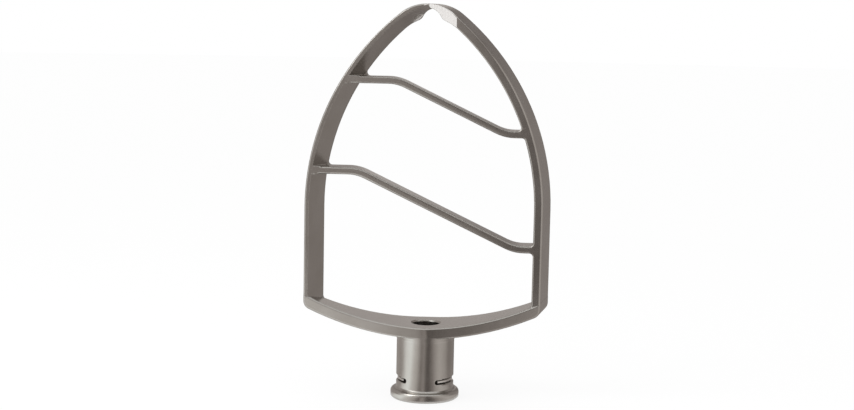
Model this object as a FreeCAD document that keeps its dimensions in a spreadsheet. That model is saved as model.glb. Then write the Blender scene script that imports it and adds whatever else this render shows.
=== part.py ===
import FreeCAD, Part
import Sketcher
import math
import os

# Flat beater of a stand mixer: one steel casting, and the spring wire that lies in the slot of its hub.
# The beater stands on its hub, upside down from the way it hangs in the mixer: Z runs along the drive shaft,
# X across the frame, Y through its depth, with the origin in the middle of the rim's face.

doc = FreeCAD.newDocument("FlatBeater")
sheet = doc.addObject("Spreadsheet::Sheet", "Sizes")

# Driving sizes, in millimetres and degrees.
SIZES = (
    # legs and pointed arch
    ("BeaterHeight", "190"),
    ("FrameWidth", "114"),
    ("FrameDepth", "13"),
    ("FrameRake", "4.5"),
    ("BandThickness", "4.3"),
    ("ArchRadius", "120"),
    ("TipRadius", "19.9"),
    ("BrowWall", "6.3"),
    ("BrowRadius", "22"),
    ("EdgeBreak", "0.6"),
    # notch under the tip, and facets ground on it
    ("TipWall", "2.1"),
    ("NotchRadius", "7"),
    ("NotchBlend", "4"),
    ("FacetReach", "12.4"),
    ("FacetPast", "3.8"),
    ("FacetRunOut", "2.4"),
    ("FacetAngle", "7"),
    ("FacetHeight", "13"),
    # base bar
    ("HubHeight", "36.4"),
    ("BarRadius", "135"),
    ("BarThickness", "5.4"),
    ("BarProud", "0.04"),
    ("BossOverhang", "1.3"),
    ("CornerRadius", "4"),
    ("FootRadius", "2.5"),
    ("FootDepth", "2.5"),
    ("FootCover", "0.15"),
    # cross bars: how far their knees lie inside the left leg, and their heels inside the right leg
    ("UpperBarBelowTip", "36.4"),
    ("UpperKneeInset", "37.196"),
    ("UpperHeelInset", "16.5861"),
    ("UpperBarThickness", "3.3"),
    ("LowerBarAboveHub", "37.7"),
    ("LowerKneeInset", "18.614"),
    ("LowerHeelInset", "10.9196"),
    ("LowerBarThickness", "3.45"),
    ("BarSlope", "25.4"),
    ("KneeRadius", "20"),
    ("JointRadius", "1.7"),
    # hub and its rim
    ("HubDiameter", "27.9"),
    ("BoreDiameter", "13.3"),
    ("BoreChamfer", "0.5"),
    ("HubFlare", "1.15"),
    ("FlareHeight", "2.2"),
    ("NeckBreak", "0.8"),
    ("RimLand", "0.1"),
    ("RimEdgeRadius", "1.8"),
    ("RimFootBreak", "0.8"),
    ("RimHeight", "4.6"),
    # slot and spring wire
    ("SlotAboveRim", "5"),
    ("SlotWidth", "2.3"),
    ("SlotLip", "0.5"),
    ("LandLeft", "38"),
    ("LandRight", "22"),
    ("WindowSpan", "26"),
    ("LipFade", "12"),
    ("WireHeight", "1.25"),
    ("WireThickness", "1"),
    ("WireBreak", "0.25"),
    ("WireInset", "0.7"),
    ("WireSeat", "0.1"),
    ("WireLeftGap", "6"),
    ("WireRightGap", "3"),
    # how far cutting shapes run past what they cut
    ("Overshoot", "4"),
)
for row, (alias, number) in enumerate(SIZES, start=1):
    sheet.set(f"A{row}", alias)
    sheet.set(f"B{row}", number)
    sheet.setAlias(f"B{row}", alias)
doc.recompute()

TOLERANCE = 1e-4
UP = FreeCAD.Rotation()
UPRIGHT = FreeCAD.Rotation(FreeCAD.Vector(1, 0, 0), 90)


def value(expression):
    """The number that an expression over the sheet stands for."""
    return float(sheet.evalExpression(expression))


def new_sketch(name, rotation):
    sketch = doc.addObject("Sketcher::SketchObject", name)
    sketch.Placement = FreeCAD.Placement(FreeCAD.Vector(), rotation)
    return sketch


def line(sketch, start, end):
    return sketch.addGeometry(Part.LineSegment(FreeCAD.Vector(*start, 0), FreeCAD.Vector(*end, 0)))


def arc(sketch, centre, radius, start, end):
    """Counter-clockwise arc between two angles in radians; its points are 1 start, 2 end, 3 centre."""
    circle = Part.Circle(FreeCAD.Vector(*centre, 0), FreeCAD.Vector(0, 0, 1), radius)
    return sketch.addGeometry(Part.ArcOfCircle(circle, start, end))


def tie(sketch, kind, *where):
    sketch.addConstraint(Sketcher.Constraint(kind, *where))


def drive(sketch, kind, where, expression):
    """Dimension that follows the sheet."""
    index = sketch.addConstraint(Sketcher.Constraint(kind, *where, value(expression)))
    sketch.setExpression(f"Constraints[{index}]", expression)


def drive_turn(sketch, arc_geometry, expression):
    """Angle that an arc covers, from an expression in degrees."""
    index = sketch.addConstraint(Sketcher.Constraint("Angle", arc_geometry, math.radians(value(expression))))
    sketch.setExpression(f"Constraints[{index}]", f"{expression} * 1deg")


def from_axis(sketch, kind, geometry, point, expression):
    """Distance of a point from the sketch's origin along one axis, on whichever side it lies."""
    if value(expression) < 0:
        drive(sketch, kind, (geometry, point, -1, 1), f"-({expression})")
    else:
        drive(sketch, kind, (-1, 1, geometry, point), expression)


def extrude(name, sketch, direction, length, symmetric=True):
    """Solid swept from a sketch along a direction whose three parts are expressions."""
    solid = doc.addObject("Part::Extrusion", name)
    solid.Base = sketch
    solid.DirMode = "Custom"
    for axis, expression in zip("xyz", direction):
        solid.setExpression(f"Dir.{axis}", expression)
    solid.setExpression("LengthFwd", length)
    solid.Symmetric = symmetric
    solid.Solid = True
    return solid


def combine(kind, name, base, tool):
    result = doc.addObject(kind, name)
    result.Base = base
    result.Tool = tool
    return result


def fuse(name, shapes):
    result = doc.addObject("Part::MultiFuse", name)
    result.Shapes = shapes
    return result


def treat_edges(kind, name, base, size_of):
    """Fillet or chamfer on every edge for which size_of gives a size."""
    doc.recompute()
    treated = doc.addObject(kind, name)
    treated.Base = base
    picked = ((number, size_of(edge)) for number, edge in enumerate(base.Shape.Edges, start=1))
    treated.Edges = [(number, size, size) for number, size in picked if size]
    return treated


BAR_CENTRE = "Sizes.HubHeight + Sizes.BarRadius"


# Round notch under the tip: it opens out of the crown of an outline through two arcs that bend the other way.
def notched_crown(sketch, tip_radius, top, turn):
    tip, blend, notch = value(tip_radius), value("Sizes.NotchBlend"), value("Sizes.NotchRadius")
    tip_centre = value(top) - tip
    notch_level = "Sizes.BeaterHeight - Sizes.TipWall - Sizes.NotchRadius"
    rise = value(notch_level) - tip_centre
    up = ((tip + blend) ** 2 - (notch + blend) ** 2 + rise ** 2) / (2 * rise)
    side = math.sqrt((tip + blend) ** 2 - up ** 2)
    brow_end, notch_start = math.atan2(up, side), math.atan2(up - rise, side)
    right_brow = arc(sketch, (0, tip_centre), tip, turn, brow_end)
    right_blend = arc(sketch, (side, tip_centre + up), blend, notch_start - math.pi, brow_end - math.pi)
    notch_arc = arc(sketch, (0, value(notch_level)), notch, notch_start, math.pi - notch_start)
    left_blend = arc(sketch, (-side, tip_centre + up), blend, -brow_end, -notch_start)
    left_brow = arc(sketch, (0, tip_centre), tip, math.pi - brow_end, math.pi - turn)
    tie(sketch, "Tangent", right_brow, 2, right_blend, 2)
    tie(sketch, "Tangent", right_blend, 1, notch_arc, 1)
    tie(sketch, "Tangent", notch_arc, 2, left_blend, 2)
    tie(sketch, "Tangent", left_blend, 1, left_brow, 1)
    tie(sketch, "Coincident", left_brow, 3, right_brow, 3)
    tie(sketch, "PointOnObject", notch_arc, 3, -2)
    from_axis(sketch, "DistanceY", notch_arc, 3, notch_level)
    drive(sketch, "Radius", (left_brow,), tip_radius)
    drive(sketch, "Radius", (notch_arc,), "Sizes.NotchRadius")
    drive(sketch, "Radius", (right_blend,), "Sizes.NotchBlend")
    drive(sketch, "Radius", (left_blend,), "Sizes.NotchBlend")
    return right_brow, left_brow


# Outline of the frame: two upright legs that run tangent into the arcs of a pointed arch with a rounded tip,
# closed below by an arc that lies inside the base bar.
def arch_outline(name, half_width, arch_radius, tip_radius, top, notched=False):
    sketch = new_sketch(name, UPRIGHT)
    half, arch, tip = value(half_width), value(arch_radius), value(tip_radius)
    tip_centre = value(top) - tip
    lean = arch - half
    leg_top = tip_centre - math.sqrt((arch - tip) ** 2 - lean ** 2)
    turn = math.atan2(tip_centre - leg_top, lean)
    foot = value("Sizes.BarRadius + Sizes.FootDepth")
    bar_centre = value(BAR_CENTRE)
    foot_angle = math.acos(half / foot)
    foot_level = bar_centre - foot * math.sin(foot_angle)
    right_leg = line(sketch, (half, foot_level), (half, leg_top))
    right_arc = arc(sketch, (-lean, leg_top), arch, 0, turn)
    if notched:
        tip_arc, last_tip_arc = notched_crown(sketch, tip_radius, top, turn)
    else:
        tip_arc = last_tip_arc = arc(sketch, (0, tip_centre), tip, turn, math.pi - turn)
    left_arc = arc(sketch, (lean, leg_top), arch, math.pi - turn, math.pi)
    left_leg = line(sketch, (-half, leg_top), (-half, foot_level))
    foot_arc = arc(sketch, (0, bar_centre), foot, foot_angle - math.pi, -foot_angle)
    tie(sketch, "Vertical", right_leg)
    tie(sketch, "Vertical", left_leg)
    tie(sketch, "Tangent", right_leg, 2, right_arc, 1)
    tie(sketch, "Tangent", right_arc, 2, tip_arc, 1)
    tie(sketch, "Tangent", last_tip_arc, 2, left_arc, 1)
    tie(sketch, "Tangent", left_arc, 2, left_leg, 1)
    tie(sketch, "Coincident", left_leg, 2, foot_arc, 1)
    tie(sketch, "Coincident", foot_arc, 2, right_leg, 1)
    tie(sketch, "PointOnObject", tip_arc, 3, -2)
    tie(sketch, "PointOnObject", foot_arc, 3, -2)
    from_axis(sketch, "DistanceX", right_leg, 1, half_width)
    from_axis(sketch, "DistanceX", left_leg, 2, f"-({half_width})")
    from_axis(sketch, "DistanceY", tip_arc, 3, f"{top} - {tip_radius}")
    from_axis(sketch, "DistanceY", foot_arc, 3, BAR_CENTRE)
    drive(sketch, "Radius", (right_arc,), arch_radius)
    drive(sketch, "Radius", (left_arc,), arch_radius)
    drive(sketch, "Radius", (tip_arc,), tip_radius)
    drive(sketch, "Radius", (foot_arc,), "Sizes.BarRadius + Sizes.FootDepth")
    return sketch


# The frame is raked: its back face lies further to the right than its front face by FrameRake, so that every
# leg pushes the mix aside as the beater turns. Half a turn about the shaft brings it onto itself.
RAKED = ("Sizes.FrameRake", "Sizes.FrameDepth", "0")
RAKED_LENGTH = "sqrt(Sizes.FrameRake ^ 2 + Sizes.FrameDepth ^ 2)"
RAKED_CUT = f"{RAKED_LENGTH} * (1 + 2 * Sizes.Overshoot / Sizes.FrameDepth)"
THROUGH = ("0", "1", "0")
CUT_DEPTH = "Sizes.FrameDepth + 4 * Sizes.Overshoot"

outer_outline = arch_outline(
    "OuterOutline", "Sizes.FrameWidth / 2", "Sizes.ArchRadius", "Sizes.TipRadius", "Sizes.BeaterHeight"
)
inner_outline = arch_outline(
    "InnerOutline",
    "Sizes.FrameWidth / 2 - Sizes.BandThickness",
    "Sizes.ArchRadius - Sizes.BandThickness",
    "Sizes.BrowRadius",
    "Sizes.BeaterHeight - Sizes.BrowWall",
    notched=True,
)
plate = extrude("FramePlate", outer_outline, RAKED, RAKED_LENGTH)
opening = extrude("FrameOpening", inner_outline, RAKED, RAKED_CUT)


# Curved band of the base bar, hollow side up, between two arcs about one centre high over the hub.
def curved_band(name, inner_radius, outer_radius):
    sketch = new_sketch(name, UPRIGHT)
    reach = "Sizes.FrameWidth / 2 + Sizes.FrameRake"
    half, centre = value(reach), value(BAR_CENTRE)
    inner, outer = value(inner_radius), value(outer_radius)
    inner_angle, outer_angle = math.acos(half / inner), math.acos(half / outer)
    inner_level = centre - inner * math.sin(inner_angle)
    outer_level = centre - outer * math.sin(outer_angle)
    top = arc(sketch, (0, centre), inner, inner_angle - math.pi, -inner_angle)
    bottom = arc(sketch, (0, centre), outer, outer_angle - math.pi, -outer_angle)
    left = line(sketch, (-half, inner_level), (-half, outer_level))
    right = line(sketch, (half, outer_level), (half, inner_level))
    tie(sketch, "Coincident", top, 1, left, 1)
    tie(sketch, "Coincident", left, 2, bottom, 1)
    tie(sketch, "Coincident", bottom, 2, right, 1)
    tie(sketch, "Coincident", right, 2, top, 2)
    tie(sketch, "Vertical", left)
    tie(sketch, "Vertical", right)
    tie(sketch, "PointOnObject", top, 3, -2)
    tie(sketch, "Coincident", top, 3, bottom, 3)
    from_axis(sketch, "DistanceY", top, 3, BAR_CENTRE)
    from_axis(sketch, "DistanceX", left, 1, f"-({reach})")
    from_axis(sketch, "DistanceX", right, 1, reach)
    drive(sketch, "Radius", (top,), inner_radius)
    drive(sketch, "Radius", (bottom,), outer_radius)
    return sketch


# Cross bar: level at the left leg, down a straight slope between two knees, and level again at the right leg.
def stepped_band(name, left_height, drop, knee_offset, thickness):
    sketch = new_sketch(name, UPRIGHT)
    reach = "Sizes.FrameWidth / 2 + Sizes.FrameRake"
    knee_x = f"-{knee_offset} - Sizes.KneeRadius * tan(Sizes.BarSlope / 2 * 1deg)"
    end, high, wall = value(reach), value(left_height), value(thickness)
    low = high - value(drop)
    knee, slope = value("Sizes.KneeRadius"), math.radians(value("Sizes.BarSlope"))
    run = (high - low - 2 * knee * (1 - math.cos(slope))) / math.sin(slope)
    first = (value(knee_x), high - knee)
    second = (first[0] + 2 * knee * math.sin(slope) + run * math.cos(slope), low + knee)
    quarter = math.pi / 2
    sides = []
    for side in (1, -1):
        shift = side * wall / 2
        outer_knee, inner_knee = knee + shift, knee - shift
        level_left = line(sketch, (-end, high + shift), (first[0], high + shift))
        bend_left = arc(sketch, first, outer_knee, quarter - slope, quarter)
        slope_start = (first[0] + outer_knee * math.sin(slope), first[1] + outer_knee * math.cos(slope))
        slope_end = (second[0] - inner_knee * math.sin(slope), second[1] - inner_knee * math.cos(slope))
        ramp = line(sketch, slope_start, slope_end)
        bend_right = arc(sketch, second, inner_knee, -quarter - slope, -quarter)
        level_right = line(sketch, (second[0], low + shift), (end, low + shift))
        tie(sketch, "Tangent", level_left, 2, bend_left, 2)
        tie(sketch, "Tangent", bend_left, 1, ramp, 1)
        tie(sketch, "Tangent", ramp, 2, bend_right, 1)
        tie(sketch, "Tangent", bend_right, 2, level_right, 1)
        tie(sketch, "Horizontal", level_left)
        tie(sketch, "Horizontal", level_right)
        half_wall = f"{'+' if side > 0 else '-'} {thickness} / 2"
        other_half = f"{'-' if side > 0 else '+'} {thickness} / 2"
        from_axis(sketch, "DistanceY", level_left, 1, f"{left_height} {half_wall}")
        from_axis(sketch, "DistanceY", level_right, 2, f"{left_height} - {drop} {half_wall}")
        from_axis(sketch, "DistanceX", level_left, 1, f"-({reach})")
        from_axis(sketch, "DistanceX", level_right, 2, reach)
        from_axis(sketch, "DistanceX", bend_left, 3, knee_x)
        drive(sketch, "Radius", (bend_left,), f"Sizes.KneeRadius {half_wall}")
        drive(sketch, "Radius", (bend_right,), f"Sizes.KneeRadius {other_half}")
        sides.append((level_left, ramp, level_right))
    (top_left, top_ramp, top_right), (low_left, low_ramp, low_right) = sides
    drive(sketch, "Angle", (top_ramp,), "-Sizes.BarSlope * 1deg")
    tie(sketch, "Parallel", top_ramp, low_ramp)
    left_end = line(sketch, (-end, high + wall / 2), (-end, high - wall / 2))
    right_end = line(sketch, (end, low + wall / 2), (end, low - wall / 2))
    tie(sketch, "Coincident", left_end, 1, top_left, 1)
    tie(sketch, "Coincident", left_end, 2, low_left, 1)
    tie(sketch, "Coincident", right_end, 1, top_right, 2)
    tie(sketch, "Coincident", right_end, 2, low_right, 2)
    return sketch


base_fill = extrude(
    "BaseFill",
    curved_band(
        "BaseFillProfile",
        "Sizes.BarRadius + Sizes.FootCover",
        "Sizes.BarRadius + Sizes.FootDepth + 2 * Sizes.FrameRake",
    ),
    THROUGH,
    CUT_DEPTH,
)
INSIDE_WIDTH = "(Sizes.FrameWidth - 2 * Sizes.BandThickness)"
UPPER_DROP = f"({INSIDE_WIDTH} - Sizes.UpperKneeInset - Sizes.UpperHeelInset) * tan(Sizes.BarSlope * 1deg)"
LOWER_DROP = f"({INSIDE_WIDTH} - Sizes.LowerKneeInset - Sizes.LowerHeelInset) * tan(Sizes.BarSlope * 1deg)"
upper_bar = extrude(
    "UpperBar",
    stepped_band(
        "UpperBarProfile",
        "Sizes.BeaterHeight - Sizes.UpperBarBelowTip",
        UPPER_DROP,
        f"({INSIDE_WIDTH} / 2 - Sizes.UpperKneeInset)",
        "Sizes.UpperBarThickness",
    ),
    THROUGH,
    CUT_DEPTH,
)
lower_bar = extrude(
    "LowerBar",
    stepped_band(
        "LowerBarProfile",
        f"Sizes.HubHeight + Sizes.LowerBarAboveHub + {LOWER_DROP}",
        LOWER_DROP,
        f"({INSIDE_WIDTH} / 2 - Sizes.LowerKneeInset)",
        "Sizes.LowerBarThickness",
    ),
    THROUGH,
    CUT_DEPTH,
)

# Three windows are left where the bars cross the frame's opening. Their corners are rounded: small radii
# where the cross bars grow out of the legs, larger ones at the feet of the legs.
windows = combine("Part::Cut", "Windows", opening, fuse("CrossBars", [base_fill, upper_bar, lower_bar]))


def face_normal(face, point):
    u, v = face.Surface.parameter(point)
    return face.normalAt(u, v)


def is_sharp(shape, edge, limit=15):
    """Whether two faces meet at an edge with a turn of more than the limit in degrees."""
    faces = shape.ancestorsOfType(edge, Part.Face)
    if len(faces) != 2:
        return False
    middle = edge.valueAt((edge.FirstParameter + edge.LastParameter) / 2)
    turn = face_normal(faces[0], middle).getAngle(face_normal(faces[1], middle))
    return math.degrees(turn) > limit


def window_corner(edge):
    runs_through = edge.BoundBox.YLength > value("Sizes.FrameDepth")
    if not (runs_through and is_sharp(windows.Shape, edge)):
        return None
    at_foot = edge.BoundBox.ZMax < value("Sizes.HubHeight + Sizes.LowerBarAboveHub - Sizes.LowerBarThickness")
    return value("Sizes.FootRadius") if at_foot else value("Sizes.JointRadius")


rounded_windows = treat_edges("Part::Fillet", "RoundedWindows", windows, window_corner)
sharp_frame = combine("Part::Cut", "SharpFrame", plate, rounded_windows)


# The edges of the front and back faces are rounded round the top window and broken elsewhere, apart from the
# foot that the base bar covers.
def on_flat_face(edge):
    box = edge.BoundBox
    return box.YLength < TOLERANCE and abs(abs(box.YMax) - value("Sizes.FrameDepth / 2")) < TOLERANCE


def top_window_edge(edge):
    if not on_flat_face(edge):
        return None
    wires = [wire for face in sharp_frame.Shape.Faces for wire in face.Wires if len(face.Wires) > 1]
    own = [wire for wire in wires if any(edge.isSame(other) for other in wire.Edges)]
    highest = max(wire.BoundBox.ZMin for wire in wires)
    at_top = any(wire.BoundBox.ZMin > highest - value("Sizes.UpperBarThickness") for wire in own)
    return value("Sizes.EdgeBreak") if at_top else None


def frame_edge(edge):
    if not (on_flat_face(edge) and is_sharp(smooth_top.Shape, edge)):
        return None
    middle = edge.valueAt((edge.FirstParameter + edge.LastParameter) / 2)
    shift = math.copysign(value("Sizes.FrameRake / 2"), middle.y)
    from_centre = math.hypot(middle.x - shift, middle.z - value(BAR_CENTRE))
    covered = abs(from_centre - value("Sizes.BarRadius + Sizes.FootDepth")) < TOLERANCE
    return None if covered else value("Sizes.EdgeBreak")


smooth_top = treat_edges("Part::Fillet", "SmoothTopWindow", sharp_frame, top_window_edge)
frame = treat_edges("Part::Chamfer", "Frame", smooth_top, frame_edge)

# The base bar in plan: straight flanks run from the ends at the legs tangent to the round boss over the hub.
BOSS_RADIUS = "Sizes.HubDiameter / 2 + Sizes.BossOverhang"
END_DEPTH = "Sizes.FrameDepth / 2 + Sizes.BarProud"
END_WIDE = "Sizes.FrameWidth / 2 + Sizes.FrameRake / 2 + Sizes.BarProud"
END_NARROW = "Sizes.FrameWidth / 2 - Sizes.FrameRake / 2 + Sizes.BarProud"

plan = new_sketch("BasePlan", UP)
boss = value(BOSS_RADIUS)
flanks = []
for side in (-1, 1):
    depth = side * value(END_DEPTH)
    ends = []
    for hand in (-1, 1):
        reach = END_WIDE if hand == side else END_NARROW
        point = (hand * value(reach), depth)
        swing = math.acos(boss / math.hypot(*point))
        angle = math.atan2(point[1], point[0]) + side * hand * swing
        ends.append((hand, reach, point, angle % (2 * math.pi)))
    first, second = ends if side < 0 else ends[::-1]
    boss_arc = arc(plan, (0, 0), boss, first[3], second[3])
    tie(plan, "Coincident", boss_arc, 3, -1, 1)
    drive(plan, "Radius", (boss_arc,), BOSS_RADIUS)
    for arc_end, (hand, reach, point, angle) in zip((1, 2), (first, second)):
        touch = (boss * math.cos(angle), boss * math.sin(angle))
        flank = line(plan, touch, point)
        tie(plan, "Tangent", boss_arc, arc_end, flank, 1)
        from_axis(plan, "DistanceX", flank, 2, reach if hand > 0 else f"-({reach})")
        from_axis(plan, "DistanceY", flank, 2, END_DEPTH if side > 0 else f"-({END_DEPTH})")
        flanks.append((hand, flank, point))
for hand in (-1, 1):
    (front_flank, front), (back_flank, back) = [(flank, point) for h, flank, point in flanks if h == hand]
    end_line = line(plan, front, back)
    tie(plan, "Coincident", end_line, 1, front_flank, 2)
    tie(plan, "Coincident", end_line, 2, back_flank, 2)

bar_plan = extrude("BarPlan", plan, ("0", "0", "1"), BAR_CENTRE, symmetric=False)
bar_band = extrude(
    "BarBand",
    curved_band("BarProfile", "Sizes.BarRadius", "Sizes.BarRadius + Sizes.BarThickness"),
    THROUGH,
    f"2 * ({BOSS_RADIUS} + Sizes.Overshoot)",
)
sharp_bar = combine("Part::Common", "SharpBar", bar_band, bar_plan)


# The bar's lower ends turn up into the legs with a large radius; its long edges are broken like the frame's.
def bar_corner(edge):
    points = [vertex.Point for vertex in edge.Vertexes]
    low = value("Sizes.BarRadius + Sizes.BarThickness")
    on_underside = all(abs(math.hypot(p.x, p.z - value(BAR_CENTRE)) - low) < TOLERANCE for p in points)
    at_end = abs(edge.BoundBox.YLength - 2 * value(END_DEPTH)) < TOLERANCE
    return value("Sizes.CornerRadius") if on_underside and at_end else None


def bar_edge(edge):
    box = edge.BoundBox
    one_side = box.YMin * box.YMax > 0 and min(abs(box.YMin), abs(box.YMax)) > value(END_DEPTH) - TOLERANCE
    upright = box.XLength < TOLERANCE and box.YLength < TOLERANCE
    return value("Sizes.EdgeBreak") if one_side and not upright else None


bar_with_corners = treat_edges("Part::Fillet", "BarWithCorners", sharp_bar, bar_corner)
base_bar = treat_edges("Part::Chamfer", "BaseBar", bar_with_corners, bar_edge)

# Hub: turned outline with a thick rounded rim at the mouth, a broken corner above it, and a flare under the
# base bar.
HUB_RADIUS = "Sizes.HubDiameter / 2"
RIM_RADIUS = f"{HUB_RADIUS} + Sizes.NeckBreak + Sizes.RimLand + Sizes.RimEdgeRadius"
FLARE_TOP = "Sizes.HubHeight - Sizes.BarThickness"
HUB_TOP = f"{FLARE_TOP} + Sizes.BarThickness / 2"

profile = new_sketch("HubProfile", UPRIGHT)
hub, rim, top, flare_top = value(HUB_RADIUS), value(RIM_RADIUS), value(HUB_TOP), value(FLARE_TOP)
foot, edge_round, neck = value("Sizes.RimFootBreak"), value("Sizes.RimEdgeRadius"), value("Sizes.NeckBreak")
rim_top, flare = value("Sizes.RimHeight"), value("Sizes.HubFlare")
flare_foot = flare_top - value("Sizes.FlareHeight")
face = line(profile, (0, 0), (rim - foot, 0))
foot_break = line(profile, (rim - foot, 0), (rim, foot))
rim_side = line(profile, (rim, foot), (rim, rim_top - edge_round))
edge_arc = arc(profile, (rim - edge_round, rim_top - edge_round), edge_round, 0, math.pi / 2)
rim_land = line(profile, (rim - edge_round, rim_top), (hub + neck, rim_top))
neck_line = line(profile, (hub + neck, rim_top), (hub, rim_top + neck))
hub_side = line(profile, (hub, rim_top + neck), (hub, flare_foot))
flare_line = line(profile, (hub, flare_foot), (hub + flare, flare_top))
collar = line(profile, (hub + flare, flare_top), (hub + flare, top))
hub_top = line(profile, (hub + flare, top), (0, top))
axis = line(profile, (0, top), (0, 0))
tie(profile, "Coincident", face, 1, -1, 1)
tie(profile, "Coincident", face, 2, foot_break, 1)
tie(profile, "Coincident", foot_break, 2, rim_side, 1)
tie(profile, "Tangent", rim_side, 2, edge_arc, 1)
tie(profile, "Tangent", edge_arc, 2, rim_land, 1)
tie(profile, "Coincident", rim_land, 2, neck_line, 1)
tie(profile, "Coincident", neck_line, 2, hub_side, 1)
tie(profile, "Coincident", hub_side, 2, flare_line, 1)
tie(profile, "Coincident", flare_line, 2, collar, 1)
tie(profile, "Coincident", collar, 2, hub_top, 1)
tie(profile, "Vertical", collar)
tie(profile, "Coincident", hub_top, 2, axis, 1)
tie(profile, "Coincident", axis, 2, face, 1)
tie(profile, "Horizontal", face)
tie(profile, "Vertical", rim_side)
tie(profile, "Horizontal", rim_land)
tie(profile, "Vertical", hub_side)
tie(profile, "Horizontal", hub_top)
tie(profile, "Vertical", axis)
drive(profile, "DistanceX", (foot_break, 1, foot_break, 2), "Sizes.RimFootBreak")
drive(profile, "DistanceY", (foot_break, 1, foot_break, 2), "Sizes.RimFootBreak")
drive(profile, "Radius", (edge_arc,), "Sizes.RimEdgeRadius")
drive(profile, "DistanceX", (neck_line, 2, neck_line, 1), "Sizes.NeckBreak")
drive(profile, "DistanceY", (neck_line, 1, neck_line, 2), "Sizes.NeckBreak")
drive(profile, "DistanceX", (flare_line, 1, flare_line, 2), "Sizes.HubFlare")
drive(profile, "DistanceY", (flare_line, 1, flare_line, 2), "Sizes.FlareHeight")
from_axis(profile, "DistanceX", rim_side, 1, RIM_RADIUS)
from_axis(profile, "DistanceX", hub_side, 1, HUB_RADIUS)
from_axis(profile, "DistanceY", rim_land, 1, "Sizes.RimHeight")
from_axis(profile, "DistanceY", collar, 1, FLARE_TOP)
from_axis(profile, "DistanceY", hub_top, 2, HUB_TOP)

hub_body = doc.addObject("Part::Revolution", "Hub")
hub_body.Source = profile
hub_body.Axis = FreeCAD.Vector(0, 0, 1)
hub_body.Angle = 360
hub_body.Solid = True

blank = fuse("CastBlank", [frame, base_bar, hub_body])

# Bore for the drive shaft, straight through hub and boss, with its edges broken at both ends.
BORE_RADIUS = "Sizes.BoreDiameter / 2"


def turned(name, outline):
    """Solid turned about the shaft from corners that are each a radius and a level, both expressions."""
    sketch = new_sketch(f"{name}Profile", UPRIGHT)
    spots = [(value(radius), value(level)) for radius, level in outline]
    count = len(spots)
    sides = [line(sketch, spots[i], spots[(i + 1) % count]) for i in range(count)]
    for i, (radius, level) in enumerate(outline):
        tie(sketch, "Coincident", sides[i], 2, sides[(i + 1) % count], 1)
        from_axis(sketch, "DistanceX", sides[i], 1, radius)
        from_axis(sketch, "DistanceY", sides[i], 1, level)
    solid = doc.addObject("Part::Revolution", name)
    solid.Source = sketch
    solid.Axis = FreeCAD.Vector(0, 0, 1)
    solid.Angle = 360
    solid.Solid = True
    return solid


WIDE_BORE = f"{BORE_RADIUS} + Sizes.BoreChamfer + Sizes.Overshoot"
bore = turned(
    "Bore",
    [
        ("0", "-(Sizes.Overshoot)"),
        (WIDE_BORE, "-(Sizes.Overshoot)"),
        (BORE_RADIUS, "Sizes.BoreChamfer"),
        (BORE_RADIUS, "Sizes.HubHeight - Sizes.BoreChamfer"),
        (WIDE_BORE, "Sizes.HubHeight + Sizes.Overshoot"),
        ("0", "Sizes.HubHeight + Sizes.Overshoot"),
    ],
)

# Slot for the spring wire: a groove with broken lips round the hub, left out over a land at the front. At
# both ends, beside the land, it is cut through to the bore and ends in a half round.
SLOT_LEVEL = "Sizes.RimHeight + Sizes.SlotAboveRim"
SLOT_HALF = "Sizes.SlotWidth / 2"
END_ANGLE = "asin(Sizes.SlotWidth / Sizes.HubDiameter) / 1deg"
RIGHT_START = f"(-90 + Sizes.LandRight + {END_ANGLE})"
LEFT_STOP = f"(270 - Sizes.LandLeft - {END_ANGLE})"
WIRE_OUTSIDE = f"{HUB_RADIUS} - Sizes.WireInset"
WIRE_INSIDE = f"{WIRE_OUTSIDE} - Sizes.WireThickness"
GROOVE_FLOOR = f"{WIRE_INSIDE} - Sizes.WireSeat"
OUTSIDE = f"{HUB_RADIUS} + Sizes.SlotLip"

groove = turned(
    "Groove",
    [
        (GROOVE_FLOOR, f"{SLOT_LEVEL} - {SLOT_HALF}"),
        (f"{HUB_RADIUS} - Sizes.SlotLip", f"{SLOT_LEVEL} - {SLOT_HALF}"),
        (OUTSIDE, f"{SLOT_LEVEL} - {SLOT_HALF} - 2 * Sizes.SlotLip"),
        (OUTSIDE, f"{SLOT_LEVEL} + {SLOT_HALF} + 2 * Sizes.SlotLip"),
        (f"{HUB_RADIUS} - Sizes.SlotLip", f"{SLOT_LEVEL} + {SLOT_HALF}"),
        (GROOVE_FLOOR, f"{SLOT_LEVEL} + {SLOT_HALF}"),
    ],
)
through = turned(
    "SlotThrough",
    [
        (f"{BORE_RADIUS} - Sizes.BoreChamfer", f"{SLOT_LEVEL} - {SLOT_HALF}"),
        (f"{HUB_RADIUS} + Sizes.Overshoot", f"{SLOT_LEVEL} - {SLOT_HALF}"),
        (f"{HUB_RADIUS} + Sizes.Overshoot", f"{SLOT_LEVEL} + {SLOT_HALF}"),
        (f"{BORE_RADIUS} - Sizes.BoreChamfer", f"{SLOT_LEVEL} + {SLOT_HALF}"),
    ],
)
groove.setExpression("Angle", f"{LEFT_STOP} - {RIGHT_START} - 2 * Sizes.LipFade")
groove.setExpression("Placement.Rotation.Angle", f"{RIGHT_START} + Sizes.LipFade")
through.setExpression("Angle", "Sizes.WindowSpan")
through.setExpression("Placement.Rotation.Angle", RIGHT_START)
left_through = doc.addObject("Part::Revolution", "SlotThroughLeft")
left_through.Source = through.Source
left_through.Axis = FreeCAD.Vector(0, 0, 1)
left_through.Solid = True
left_through.setExpression("Angle", "Sizes.WindowSpan")
left_through.setExpression("Placement.Rotation.Angle", f"{LEFT_STOP} - Sizes.WindowSpan")
slot_ends = []
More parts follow.
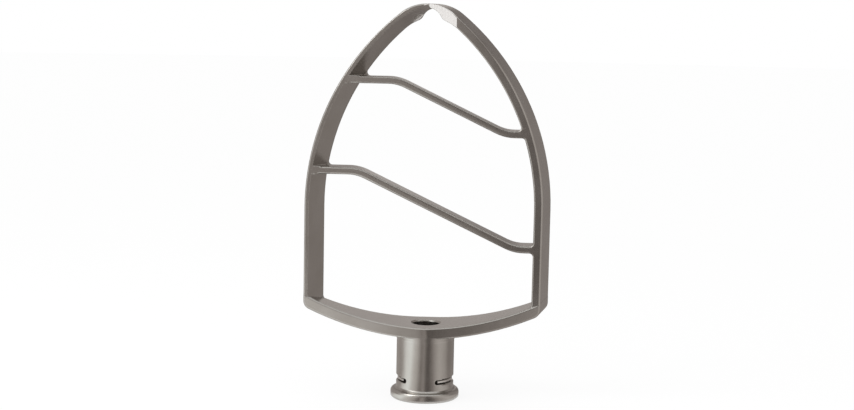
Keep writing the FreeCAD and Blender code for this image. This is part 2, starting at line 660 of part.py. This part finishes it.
for name, angle in (("RightSlotEnd", RIGHT_START), ("LeftSlotEnd", LEFT_STOP)):
    drill = doc.addObject("Part::Cylinder", name)
    drill.setExpression("Radius", SLOT_HALF)
    drill.setExpression("Height", f"{HUB_RADIUS} + Sizes.Overshoot")
    drill.Placement = FreeCAD.Placement(FreeCAD.Vector(), FreeCAD.Rotation(FreeCAD.Vector(0, 1, 0), 90))
    drill.setExpression("Placement.Rotation.Axis.x", f"-sin({angle} * 1deg)")
    drill.setExpression("Placement.Rotation.Axis.y", f"cos({angle} * 1deg)")
    drill.setExpression("Placement.Base.z", SLOT_LEVEL)
    slot_ends.append(drill)

# Facets ground on the tip: a shallow wedge off the front that runs out past the tip, and the same wedge off
# the back after half a turn.
wedge = new_sketch("FacetPlan", UP)
DEEPEST = "Sizes.FacetRunOut - Sizes.FacetPast"
FACET_DEPTH = f"(Sizes.FacetReach - ({DEEPEST})) * tan(Sizes.FacetAngle * 1deg)"
places = [
    ("Sizes.FacetReach", "-(Sizes.FrameDepth / 2)"),
    ("Sizes.FacetReach", "-(Sizes.FrameDepth / 2 + Sizes.Overshoot)"),
    ("-(Sizes.FacetPast)", "-(Sizes.FrameDepth / 2 + Sizes.Overshoot)"),
    ("-(Sizes.FacetPast)", "-(Sizes.FrameDepth / 2)"),
    (DEEPEST, f"-(Sizes.FrameDepth / 2 - {FACET_DEPTH})"),
]
corners = [(value(x_place), value(y_place)) for x_place, y_place in places]
sides = [line(wedge, corners[i], corners[(i + 1) % len(corners)]) for i in range(len(corners))]
for i, (x_place, y_place) in enumerate(places):
    tie(wedge, "Coincident", sides[i], 2, sides[(i + 1) % len(sides)], 1)
    from_axis(wedge, "DistanceX", sides[i], 1, x_place)
    from_axis(wedge, "DistanceY", sides[i], 1, y_place)
front_facet = extrude(
    "FrontFacet", wedge, ("0", "0", "1"), "Sizes.FacetHeight + Sizes.Overshoot", symmetric=False
)
front_facet.setExpression("Placement.Base.z", "Sizes.BeaterHeight - Sizes.FacetHeight")
back_facet = extrude(
    "BackFacet", wedge, ("0", "0", "1"), "Sizes.FacetHeight + Sizes.Overshoot", symmetric=False
)
back_facet.Placement = FreeCAD.Placement(FreeCAD.Vector(), FreeCAD.Rotation(FreeCAD.Vector(0, 0, 1), 180))
back_facet.setExpression("Placement.Base.z", "Sizes.BeaterHeight - Sizes.FacetHeight")

hub_cuts = fuse("HubCuts", [bore, groove, through, left_through, *slot_ends])
bored = combine("Part::Cut", "BoredCasting", blank, hub_cuts)
casting = combine("Part::Cut", "BeaterCasting", bored, fuse("Facets", [front_facet, back_facet]))
casting.Refine = True
casting.Label = "beater_casting"

# Spring wire: flat wire with broken edges, bent to an open ring that springs into the groove round the hub.
WIRE_HALF = "Sizes.WireHeight / 2"
WIRE_START = f"{RIGHT_START} + Sizes.WireRightGap"
spring = turned(
    "RetainingSpring",
    [
        (WIRE_INSIDE, f"{SLOT_LEVEL} - {WIRE_HALF} + Sizes.WireBreak"),
        (f"{WIRE_INSIDE} + Sizes.WireBreak", f"{SLOT_LEVEL} - {WIRE_HALF}"),
        (f"{WIRE_OUTSIDE} - Sizes.WireBreak", f"{SLOT_LEVEL} - {WIRE_HALF}"),
        (WIRE_OUTSIDE, f"{SLOT_LEVEL} - {WIRE_HALF} + Sizes.WireBreak"),
        (WIRE_OUTSIDE, f"{SLOT_LEVEL} + {WIRE_HALF} - Sizes.WireBreak"),
        (f"{WIRE_OUTSIDE} - Sizes.WireBreak", f"{SLOT_LEVEL} + {WIRE_HALF}"),
        (f"{WIRE_INSIDE} + Sizes.WireBreak", f"{SLOT_LEVEL} + {WIRE_HALF}"),
        (WIRE_INSIDE, f"{SLOT_LEVEL} + {WIRE_HALF} - Sizes.WireBreak"),
    ],
)
spring.setExpression("Angle", f"{LEFT_STOP} - Sizes.WireLeftGap - ({WIRE_START})")
spring.setExpression("Placement.Rotation.Angle", WIRE_START)
spring.Label = "retaining_spring"
doc.recompute()

# Every object has to be sound before anything is written.
failed = [item.Label for item in doc.Objects if "Invalid" in item.State or "Error" in item.State]
if failed:
    raise RuntimeError(f"objects that failed: {failed}")
sub_parts = (casting, spring)
for part in sub_parts:
    if part.Shape.isNull() or not part.Shape.isValid() or len(part.Shape.Solids) != 1:
        raise RuntimeError(f"{part.Label} is not one sound solid")
os.makedirs("parts", exist_ok=True)
for part in sub_parts:
    part.Shape.exportStep(f"parts/{part.Label}.step")
    print(part.Label, "volume", round(part.Shape.Volume, 2), "mm3")
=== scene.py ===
# A stand mixer's flat beater, standing on its hub on a pale studio floor.
import math
from contextlib import contextmanager

import bpy
from mathutils import Matrix, Vector


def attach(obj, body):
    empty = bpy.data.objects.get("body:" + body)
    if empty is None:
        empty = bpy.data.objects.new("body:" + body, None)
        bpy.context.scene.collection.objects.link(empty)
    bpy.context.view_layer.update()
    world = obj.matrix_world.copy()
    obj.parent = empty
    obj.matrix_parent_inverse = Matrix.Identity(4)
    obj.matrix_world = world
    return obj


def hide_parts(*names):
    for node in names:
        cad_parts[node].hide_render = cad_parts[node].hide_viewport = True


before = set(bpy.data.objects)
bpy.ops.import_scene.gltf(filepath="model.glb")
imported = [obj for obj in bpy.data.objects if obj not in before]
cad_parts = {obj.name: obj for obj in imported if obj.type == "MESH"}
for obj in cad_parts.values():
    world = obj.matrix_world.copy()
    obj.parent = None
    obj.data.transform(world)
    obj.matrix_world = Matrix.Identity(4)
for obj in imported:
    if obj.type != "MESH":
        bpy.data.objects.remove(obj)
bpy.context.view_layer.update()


# The casting is the whole beater in one piece: hub, base bar, arch and cross bars. It is investment cast in
# stainless steel, tumbled to an even satin, and its tip is ground flat on two sides where the casting gate was.
MM = 0.001

# The left half of the band is a wedge: its inner face reaches further out at the front, so that the front is
# only a thin edge there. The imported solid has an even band, so the wedge is cut from a copy of it that stands
# for the node. The band leans sideways over its depth, and each arc's centre lies beyond the middle.
RAKE = 4.5 / 13.0
ARCH_CENTRE = 63.0 * MM
LEG_TOP = 92.31 * MM
INNER_RADIUS = 115.7 * MM
WEDGE = 2.1 * MM
WEDGE_RUNS_OUT = 4.0 * MM
WEDGE_DEPTH = 10.5 * MM
CUT_FRONT = -8.0 * MM
CUT_BACK = 4.6 * MM
CUT_INWARD = 3.0 * MM

# The wedge fades by the degree as the arch nears its tip.
FADE_FROM_DEGREE = 50
FADE_PER_DEGREE = 0.26 * MM

# The cut starts on the base bar's sloping top and leaves out the root of each cross bar. Between these heights it
# has a ring of corners at every degree of the arc.
BASE_BAR_X = -52.0 * MM
BASE_BAR_TOP = 47.05 * MM
BASE_BAR_SLOPE = -0.42
UNDER_LOWER_BAR = 108.2 * MM
OVER_LOWER_BAR = 112.05 * MM
UNDER_UPPER_BAR = 151.75 * MM
OVER_UPPER_BAR = 155.45 * MM
LEG_TO_LOWER_BAR = range(0, 7)
BAR_TO_BAR = range(11, 30)
UPPER_BAR_TO_TIP = range(34, 58)
CORNERS = 4
MERGE_WITHIN = 1e-6
SMOOTH_UP_TO = math.radians(30.0)


def cut_corners(wedge):
    """Depth, radius and arc's centre of each corner of the cut across the band."""
    for y, inside in ((CUT_FRONT, False), (CUT_BACK, False), (CUT_BACK, True), (CUT_FRONT, True)):
        radius = INNER_RADIUS + wedge * (WEDGE_RUNS_OUT - y) / WEDGE_DEPTH
        if inside:
            radius = INNER_RADIUS - CUT_INWARD
        yield y, radius, ARCH_CENTRE + RAKE * y


def ring_at_height(height, slope=0.0):
    """The cut's corners at a height, which may slope from the base bar's end."""
    ring = []
    for y, radius, centre in cut_corners(WEDGE):
        z = height + slope * (centre - radius - BASE_BAR_X)
        rise = max(z - LEG_TOP, 0.0)
        ring.append((centre - math.sqrt(radius * radius - rise * rise), y, z))
    return ring


def ring_on_arc(degrees):
    """The cut's corners at an angle about the arc's centre."""
    angle = math.radians(degrees)
    wedge = WEDGE - FADE_PER_DEGREE * max(degrees - FADE_FROM_DEGREE, 0)
    return [
        (centre - radius * math.cos(angle), y, LEG_TOP + radius * math.sin(angle))
        for y, radius, centre in cut_corners(wedge)
    ]


def new_object(name, data):
    """An object in the scene, active and the only one selected."""
    made = bpy.data.objects.new(name, data)
    bpy.context.scene.collection.objects.link(made)
    bpy.ops.object.select_all(action="DESELECT")
    made.select_set(True)
    bpy.context.view_layer.objects.active = made
    return made


@contextmanager
def whole_mesh():
    """Edit mode on the active object, with all of it selected."""
    bpy.ops.object.mode_set(mode="EDIT")
    bpy.ops.mesh.select_all(action="SELECT")
    yield
    bpy.ops.object.mode_set(mode="OBJECT")


runs = (
    [
        ring_at_height(BASE_BAR_TOP, BASE_BAR_SLOPE),
        *map(ring_on_arc, LEG_TO_LOWER_BAR),
        ring_at_height(UNDER_LOWER_BAR),
    ],
    [ring_at_height(OVER_LOWER_BAR), *map(ring_on_arc, BAR_TO_BAR), ring_at_height(UNDER_UPPER_BAR)],
    [ring_at_height(OVER_UPPER_BAR), *map(ring_on_arc, UPPER_BAR_TO_TIP)],
)
points, faces = [], []
for rings in runs:
    first = len(points)
    for ring in rings:
        points += ring
    last = len(points) - CORNERS
    for near in range(first, last, CORNERS):
        far = near + CORNERS
        for corner in range(CORNERS):
            following = (corner + 1) % CORNERS
            faces.append((near + corner, near + following, far + following, far + corner))
    faces.append(tuple(first + corner for corner in reversed(range(CORNERS))))
    faces.append(tuple(last + corner for corner in range(CORNERS)))
cut_mesh = bpy.data.meshes.new("wedge_cut")
cut_mesh.from_pydata(points, [], faces)
cut = new_object("wedge_cut", cut_mesh)
with whole_mesh():
    bpy.ops.mesh.normals_make_consistent(inside=False)

casting = new_object("casting_with_wedge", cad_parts["beater_casting"].data.copy())
bpy.ops.mesh.customdata_custom_splitnormals_clear()
with whole_mesh():
    bpy.ops.mesh.remove_doubles(threshold=MERGE_WITHIN)
shave = casting.modifiers.new("shave", "BOOLEAN")
shave.operation = "DIFFERENCE"
shave.solver = "MANIFOLD"
shave.object = cut
bpy.ops.object.modifier_apply(modifier="shave")
bpy.ops.object.shade_smooth_by_angle(angle=SMOOTH_UP_TO)
level_faces = casting.modifiers.new("level_faces", "WEIGHTED_NORMAL")
level_faces.keep_sharp = True
bpy.ops.object.modifier_apply(modifier="level_faces")
bpy.data.objects.remove(cut)

# The satin is faintly mottled. Every noise below is given as its scale per metre and its detail, and every relief
# as its height in metres and its strength.
SATIN_DARK = (0.405, 0.386, 0.358)
SATIN_LIGHT = (0.455, 0.438, 0.412)
SATIN_ROUGH = (0.21, 0.27)
MOTTLE = (70.0, 4.0)


def node_material(name):
    """A material with its node tree and its shader."""
    material = bpy.data.materials.new(name)
    material.use_nodes = True
    return material, material.node_tree, material.node_tree.nodes["Principled BSDF"]


def noise(tree, coordinate, scale, detail):
    """Noise of this scale per metre on the piece's own coordinates."""
    cloud = tree.nodes.new("ShaderNodeTexNoise")
    cloud.inputs["Scale"].default_value = scale
    cloud.inputs["Detail"].default_value = detail
    tree.links.new(coordinate, cloud.inputs["Vector"])
    return cloud.outputs["Fac"]


def spread(tree, source, low, high, start=0.3, end=0.7):
    """A value that runs from low to high as its source runs from start to end, by default a noise's usual range."""
    ramp = tree.nodes.new("ShaderNodeMapRange")
    ramp.inputs["From Min"].default_value = start
    ramp.inputs["From Max"].default_value = end
    ramp.inputs["To Min"].default_value = low
    ramp.inputs["To Max"].default_value = high
    tree.links.new(source, ramp.inputs["Value"])
    return ramp.outputs["Result"]


def arithmetic(tree, operation, *values):
    """One step of arithmetic on one or two values, each a socket or a number."""
    step = tree.nodes.new("ShaderNodeMath")
    step.operation = operation
    for socket, given in zip(step.inputs, values):
        if isinstance(given, (int, float)):
            socket.default_value = given
        else:
            tree.links.new(given, socket)
    return step.outputs["Value"]


def product(tree, first, *others):
    """All the values multiplied."""
    for other in others:
        first = arithmetic(tree, "MULTIPLY", first, other)
    return first


def measure(tree, operation, *vectors):
    """The length of a vector, or the dot product of two."""
    step = tree.nodes.new("ShaderNodeVectorMath")
    step.operation = operation
    for socket, vector in zip(step.inputs, vectors):
        tree.links.new(vector, socket)
    return step.outputs["Value"]


def mix_colors(tree, factor, first, second):
    """Two colours mixed by a value, each a socket or a tuple."""
    blend = tree.nodes.new("ShaderNodeMix")
    blend.data_type = "RGBA"
    tree.links.new(factor, blend.inputs["Factor"])
    for socket, given in ((blend.inputs[6], first), (blend.inputs[7], second)):
        if isinstance(given, tuple):
            socket.default_value = (*given, 1.0)
        else:
            tree.links.new(given, socket)
    return blend.outputs[2]


def bump(tree, normal, relief, height, strength):
    """Relief of this height in metres on top of a normal."""
    raised = tree.nodes.new("ShaderNodeBump")
    raised.inputs["Strength"].default_value = strength
    raised.inputs["Distance"].default_value = height
    tree.links.new(relief, raised.inputs["Height"])
    tree.links.new(normal, raised.inputs["Normal"])
    return raised.outputs["Normal"]


def axes_of(tree, vector):
    """The three parts of a vector."""
    parts = tree.nodes.new("ShaderNodeSeparateXYZ")
    tree.links.new(vector, parts.inputs["Vector"])
    return parts.outputs["X"], parts.outputs["Y"], parts.outputs["Z"]


satin, tree, skin = node_material("satin_cast_steel")
coordinates = tree.nodes.new("ShaderNodeTexCoord")
place = coordinates.outputs["Object"]
x_place, y_place, z_place = axes_of(tree, place)
off_middle = arithmetic(tree, "ABSOLUTE", x_place)
mottle = noise(tree, place, *MOTTLE)
satin_color = mix_colors(tree, spread(tree, mottle, 0.0, 1.0), SATIN_DARK, SATIN_LIGHT)
satin_rough = spread(tree, mottle, *SATIN_ROUGH)

# Tumbling rounds every edge a little more than the mould did, and leaves a fine brighter line along it. The edges
# of the cross bars, which lie open on both sides, are the roundest. The bars are what lies inside the arch, in
# reach of the arc's centre, and above the hub. Wear is full where the rounded normal turns far from the face's.
EDGE_ROUND = 0.55 * MM
BAR_ROUND = 1.6 * MM
BARS_FOOT = 88.0 * MM
BARS_REACH = 112.0 * MM
BARS_FROM = 52.0 * MM
BEVEL_SAMPLES = 12
WORN_COLOR = (0.48, 0.463, 0.437)
FULL_WEAR_TURN = 0.90
NO_WEAR_TURN = 0.995
from_centre = tree.nodes.new("ShaderNodeCombineXYZ")
tree.links.new(arithmetic(tree, "ADD", off_middle, ARCH_CENTRE), from_centre.inputs["X"])
above_foot = arithmetic(tree, "MAXIMUM", arithmetic(tree, "SUBTRACT", z_place, BARS_FOOT), 0.0)
tree.links.new(above_foot, from_centre.inputs["Z"])
reach = measure(tree, "LENGTH", from_centre.outputs["Vector"])
inside_arch = arithmetic(tree, "LESS_THAN", reach, BARS_REACH)
above_hub = arithmetic(tree, "GREATER_THAN", z_place, BARS_FROM)
on_bars = product(tree, inside_arch, above_hub)
soft_edge = tree.nodes.new("ShaderNodeBevel")
soft_edge.samples = BEVEL_SAMPLES
tree.links.new(spread(tree, on_bars, EDGE_ROUND, BAR_ROUND, 0.0, 1.0), soft_edge.inputs["Radius"])
rounded = soft_edge.outputs["Normal"]
face_normal = tree.nodes.new("ShaderNodeNewGeometry").outputs["True Normal"]
turn = measure(tree, "DOT_PRODUCT", rounded, face_normal)
edge_wear = spread(tree, turn, 1.0, 0.0, FULL_WEAR_TURN, NO_WEAR_TURN)
worn_color = mix_colors(tree, edge_wear, satin_color, WORN_COLOR)

# The facets ground on the tip lie just behind the front and back faces. Their near-white colour is the bare grind
# with a painted highlight on top, brighter than bare steel, standing in for the light they catch. A coarse grind
# scatters light, so they are rougher and partly matt.
FACET_LEVEL = 176.9 * MM
FACET_HALF = 12.6 * MM
FACE_DEPTH = 6.44 * MM
FACET_FACING = 0.75
GRIND_AND_HIGHLIGHT_COLOR = (0.94, 0.93, 0.915)
GRIND_ROUGHER = 0.2
GRIND_METALLIC = 0.62
facing_y = axes_of(tree, coordinates.outputs["Normal"])[1]
grind_and_painted_highlight = product(
    tree,
    arithmetic(tree, "GREATER_THAN", arithmetic(tree, "ABSOLUTE", facing_y), FACET_FACING),
    arithmetic(tree, "LESS_THAN", arithmetic(tree, "ABSOLUTE", y_place), FACE_DEPTH),
    arithmetic(tree, "LESS_THAN", off_middle, FACET_HALF),
    arithmetic(tree, "GREATER_THAN", z_place, FACET_LEVEL),
    arithmetic(tree, "SUBTRACT", 1.0, edge_wear),
)
roughness = arithmetic(tree, "ADD", satin_rough, product(tree, grind_and_painted_highlight, GRIND_ROUGHER))
# The facets' near-white base colour is partly the bare grind and partly a painted highlight.
tree.links.new(mix_colors(tree, grind_and_painted_highlight, worn_color, GRIND_AND_HIGHLIGHT_COLOR), skin.inputs["Base Color"])
tree.links.new(roughness, skin.inputs["Roughness"])
tree.links.new(spread(tree, grind_and_painted_highlight, 1.0, GRIND_METALLIC, 0.0, 1.0), skin.inputs["Metallic"])

# The skin of the casting is faintly wavy and finely grained; the grind has upright marks.
WAVES = (95.0, 2.0)
WAVE_RELIEF = (0.25 * MM, 0.3)
GRAIN = (1900.0, 2.0)
GRAIN_RELIEF = (0.05 * MM, 0.12)
GRIND = (2400.0, 2.0)
GRIND_RELIEF = (0.12 * MM, 0.5)
GRIND_STRETCH = (1.0, 1.0, 0.04)
stretch = tree.nodes.new("ShaderNodeMapping")
stretch.inputs["Scale"].default_value = GRIND_STRETCH
tree.links.new(place, stretch.inputs["Vector"])
grind_marks = product(tree, noise(tree, stretch.outputs["Vector"], *GRIND), grind_and_painted_highlight)
wavy = bump(tree, rounded, noise(tree, place, *WAVES), *WAVE_RELIEF)
grained = bump(tree, wavy, noise(tree, place, *GRAIN), *GRAIN_RELIEF)
tree.links.new(bump(tree, grained, grind_marks, *GRIND_RELIEF), skin.inputs["Normal"])
casting.data.materials.clear()
casting.data.materials.append(satin)
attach(casting, "root")
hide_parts("beater_casting")


# The retaining spring is a bent spring-steel wire that lies in the slot cut round the hub, where it clips behind
# the pin of the mixer's shaft. It is drawn bright and left bare.
WIRE_DARK = (0.56, 0.545, 0.52)
WIRE_LIGHT = (0.68, 0.66, 0.63)
WIRE_ROUGH = (0.2, 0.3)
DRAW_MARKS = (900.0, 3.0)
drawn, tree, skin = node_material("drawn_spring_wire")
skin.inputs["Metallic"].default_value = 1.0
draw_marks = noise(tree, tree.nodes.new("ShaderNodeTexCoord").outputs["Object"], *DRAW_MARKS)
tree.links.new(mix_colors(tree, draw_marks, WIRE_DARK, WIRE_LIGHT), skin.inputs["Base Color"])
tree.links.new(spread(tree, draw_marks, *WIRE_ROUGH), skin.inputs["Roughness"])
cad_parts["retaining_spring"].material_slots[0].material = drawn


# The floor is a wide sheet of matt white paper. It stays white to the camera and in the steel, and keeps a faint
# shadow under the rim.
FLOOR_RADIUS = 6.0
FLOOR_BELOW = 0.02 * MM
CIRCLE_SIDES = 96
PAPER_COLOR = (0.92, 0.92, 0.92, 1.0)
PAPER_ROUGH = 0.9
PAPER_SHINE = 0.1
GLOW_SHARE = 0.86


def settle(name):
    """The object just added, under this name, with its place moved into its mesh."""
    added = bpy.context.object
    added.name = name
    bpy.ops.object.transform_apply(location=True)
    return added


bpy.ops.mesh.primitive_circle_add(
    vertices=CIRCLE_SIDES, radius=FLOOR_RADIUS, fill_type="NGON", location=(0, 0, -FLOOR_BELOW)
)
floor = settle("paper_floor")
paper, tree, sheet = node_material("white_paper")
sheet.inputs["Base Color"].default_value = PAPER_COLOR
sheet.inputs["Roughness"].default_value = PAPER_ROUGH
sheet.inputs["Specular IOR Level"].default_value = PAPER_SHINE
glow = tree.nodes.new("ShaderNodeEmission")
rays = tree.nodes.new("ShaderNodeLightPath")
seen = arithmetic(tree, "MAXIMUM", rays.outputs["Is Camera Ray"], rays.outputs["Is Glossy Ray"])
seen = arithmetic(tree, "MAXIMUM", seen, rays.outputs["Is Transmission Ray"])
both = tree.nodes.new("ShaderNodeMixShader")
tree.links.new(product(tree, seen, GLOW_SHARE), both.inputs["Fac"])
tree.links.new(sheet.outputs["BSDF"], both.inputs[1])
tree.links.new(glow.outputs["Emission"], both.inputs[2])
tree.links.new(both.outputs["Shader"], tree.nodes["Material Output"].inputs["Surface"])
floor.data.materials.append(paper)


# The studio is a white room at a plain level, with a weak soft box on the left. A ring of grey and white cards
# stands round the beater, with an apron of the same tones on the floor, and shows only in reflections. Dark cards
# near the camera's line and a white one on the left give the steel its bands of light.
ROOM_COLOR = (1.0, 1.0, 1.0, 1.0)
CARD_RING = 0.6
CARD_HEIGHT = 0.8
APRON_ABOVE = 0.3 * MM
APRON_INNER_SHARE = 0.032
LAMP_AT = Vector((-0.4, -0.25, 0.5))
LAMP_AIM = Vector((0, 0, 0.09))
LAMP_SIDE = 0.35
LAMP_WATTS = 1.0

# Brightness of the cards by their bearing in degrees: 0 is the camera's side, 90 the right, -90 the left. The
# tint runs from the dark cards' to the brightest one's.
BRIGHTEST = 1.5
CARDS = (
    (-180, 0.60), (-176, 0.40), (-168, 0.34), (-150, 0.44), (-126, 0.50), (-108, 0.48), (-94, 0.56),
    (-74, 1.30), (-54, 1.50), (-42, 1.00), (-26, 0.74), (-16, 0.34), (-10, 0.27), (-6, 0.50),
    (-1, 0.48), (4, 0.20), (12, 0.13), (20, 0.19), (32, 0.46), (56, 0.76), (84, 0.58),
    (100, 0.34), (138, 0.37), (150, 0.25), (168, 0.26), (176, 0.52), (180, 0.60),
)
DARK_TINT = (1.12, 0.98, 0.925)
BRIGHT_TINT = (0.96, 1.0, 1.0)
world = bpy.data.worlds.new("white_room")
bpy.context.scene.world = world
world.use_nodes = True
world.node_tree.nodes["Background"].inputs["Color"].default_value = ROOM_COLOR

bpy.ops.mesh.primitive_cylinder_add(
    vertices=CIRCLE_SIDES,
    radius=CARD_RING,
    depth=CARD_HEIGHT,
    end_fill_type="NOTHING",
    location=(0, 0, CARD_HEIGHT / 2),
)
ring = settle("card_ring")
bpy.ops.mesh.primitive_circle_add(
    vertices=CIRCLE_SIDES, radius=CARD_RING, fill_type="NOTHING", location=(0, 0, APRON_ABOVE)
)
apron = settle("card_apron")
with whole_mesh():
    bpy.ops.mesh.extrude_region_move()
    bpy.ops.transform.resize(value=(APRON_INNER_SHARE, APRON_INNER_SHARE, 1.0))

card, tree, plain_skin = node_material("grey_cards")
tree.nodes.remove(plain_skin)
x_card, y_card, _ = axes_of(tree, tree.nodes.new("ShaderNodeTexCoord").outputs["Object"])
bearing = arithmetic(tree, "ARCTAN2", x_card, product(tree, y_card, -1.0))
tones = tree.nodes.new("ShaderNodeValToRGB")
tree.links.new(spread(tree, bearing, 0.0, 1.0, -math.pi, math.pi), tones.inputs["Fac"])
stops = tones.color_ramp.elements
while len(stops) < len(CARDS):
    stops.new(0.5)
for stop, (degrees, level) in zip(stops, CARDS):
    share = level / BRIGHTEST
    tint = [dark + (bright - dark) * share for dark, bright in zip(DARK_TINT, BRIGHT_TINT)]
    stop.position = (degrees + 180) / 360
    stop.color = (*(share * channel for channel in tint), 1.0)
light = tree.nodes.new("ShaderNodeEmission")
light.inputs["Strength"].default_value = BRIGHTEST
tree.links.new(tones.outputs["Color"], light.inputs["Color"])
tree.links.new(light.outputs["Emission"], tree.nodes["Material Output"].inputs["Surface"])
for screen in (ring, apron):
    screen.data.materials.append(card)
    screen.visible_camera = False
    screen.visible_diffuse = False
    screen.visible_shadow = False

lamp = bpy.data.lights.new("left_box", "AREA")
lamp.size = LAMP_SIDE
lamp.energy = LAMP_WATTS
left_box = new_object("left_box", lamp)
left_box.location = LAMP_AT
left_box.rotation_euler = (LAMP_AIM - LAMP_AT).to_track_quat("-Z", "Y").to_euler()


# The camera stands a little right of the beater and just above it, with the long lens of a catalogue picture.
# It is fitted to the photograph's outline.
AIM = Vector((0, 0, 95 * MM))
CAMERA_AT = Vector((22.3 * MM, -736.5 * MM, 184.0 * MM))
ROLL = math.radians(1.16)
LENS = 65.04
SENSOR_WIDTH = 36.0
SHIFT_X = -0.0015
SHIFT_Y = -0.0027
NEAREST = 0.01
camera = bpy.data.cameras.new("catalogue_camera")
camera.lens = LENS
camera.sensor_width = SENSOR_WIDTH
camera.shift_x = SHIFT_X
camera.shift_y = SHIFT_Y
camera.clip_start = NEAREST
camera_object = new_object("catalogue_camera", camera)
facing = (AIM - CAMERA_AT).to_track_quat("-Z", "Y").to_matrix().to_4x4() @ Matrix.Rotation(ROLL, 4, "Z")
camera_object.matrix_world = Matrix.Translation(CAMERA_AT) @ facing
bpy.context.scene.camera = camera_object
bpy.context.scene.view_settings.view_transform = "Standard"
